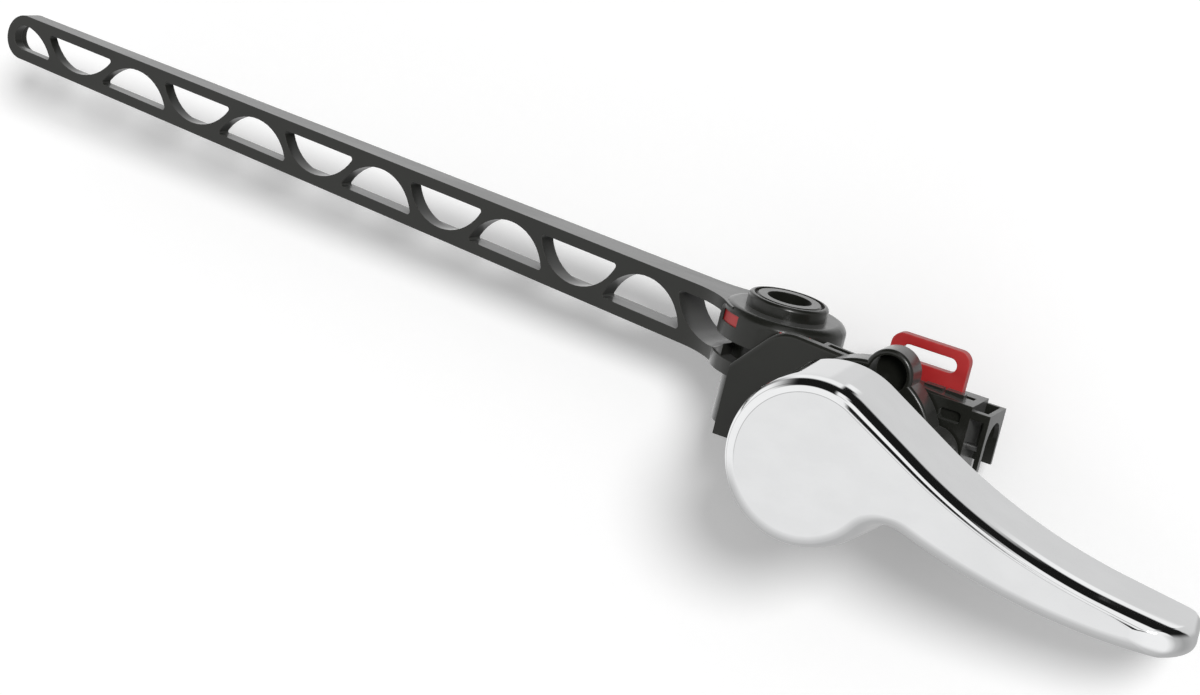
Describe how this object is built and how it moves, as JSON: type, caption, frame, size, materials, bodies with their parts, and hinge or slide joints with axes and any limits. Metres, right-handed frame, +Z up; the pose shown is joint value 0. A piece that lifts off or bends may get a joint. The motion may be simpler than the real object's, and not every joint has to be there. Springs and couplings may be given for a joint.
{
  "type": "cistern lever",
  "caption": "Side-swinging cistern flush lever: plated handle, spindle in a clamped bushing, rocker bar with a lock tab and a long pierced lift arm.",
  "frame": {"origin": "on the spindle axis, at the outer face of the tank wall, where the gasket rests", "axes": "+X along the rocker bar towards the handle's tail, +Y into the tank along the spindle, +Z up along the arm's pivot"},
  "size_m": [0.3143, 0.102, 0.0393],
  "materials": {
    "plated_plastic": "polished",
    "dark_plastic": "satin",
    "seal_rubber": "matte",
    "pin_steel": "satin",
    "red_plastic": "satin"
  },
  "bodies": {
    "mounting": {"spud": "dark_plastic", "gasket": "seal_rubber", "tank_nut": "dark_plastic"},
    "lever": {"handle": "plated_plastic", "spindle": "dark_plastic", "rocker_bar": "dark_plastic", "end_pin": "pin_steel"},
    "lock": {"lock_tab": "red_plastic"},
    "arm": {"lift_arm": "dark_plastic", "arm_clip": "red_plastic"}
  },
  "joints": [
    {"name": "lever_turn", "type": "hinge", "parent": "mounting", "child": "lever", "pos_m": [0, 0, 0], "axis": [0, 1, 0], "range_deg": [0, 30]},
    {"name": "arm_swing", "type": "hinge", "parent": "lever", "child": "arm", "pos_m": [-0.0265, 0.0329, 0], "axis": [0, 0, -1], "range_deg": [-12, 60]},
    {"name": "lock_pull", "type": "slide", "parent": "lever", "child": "lock", "axis": [0, 0, 1], "range_m": [0, 0.0072]}
  ]
}
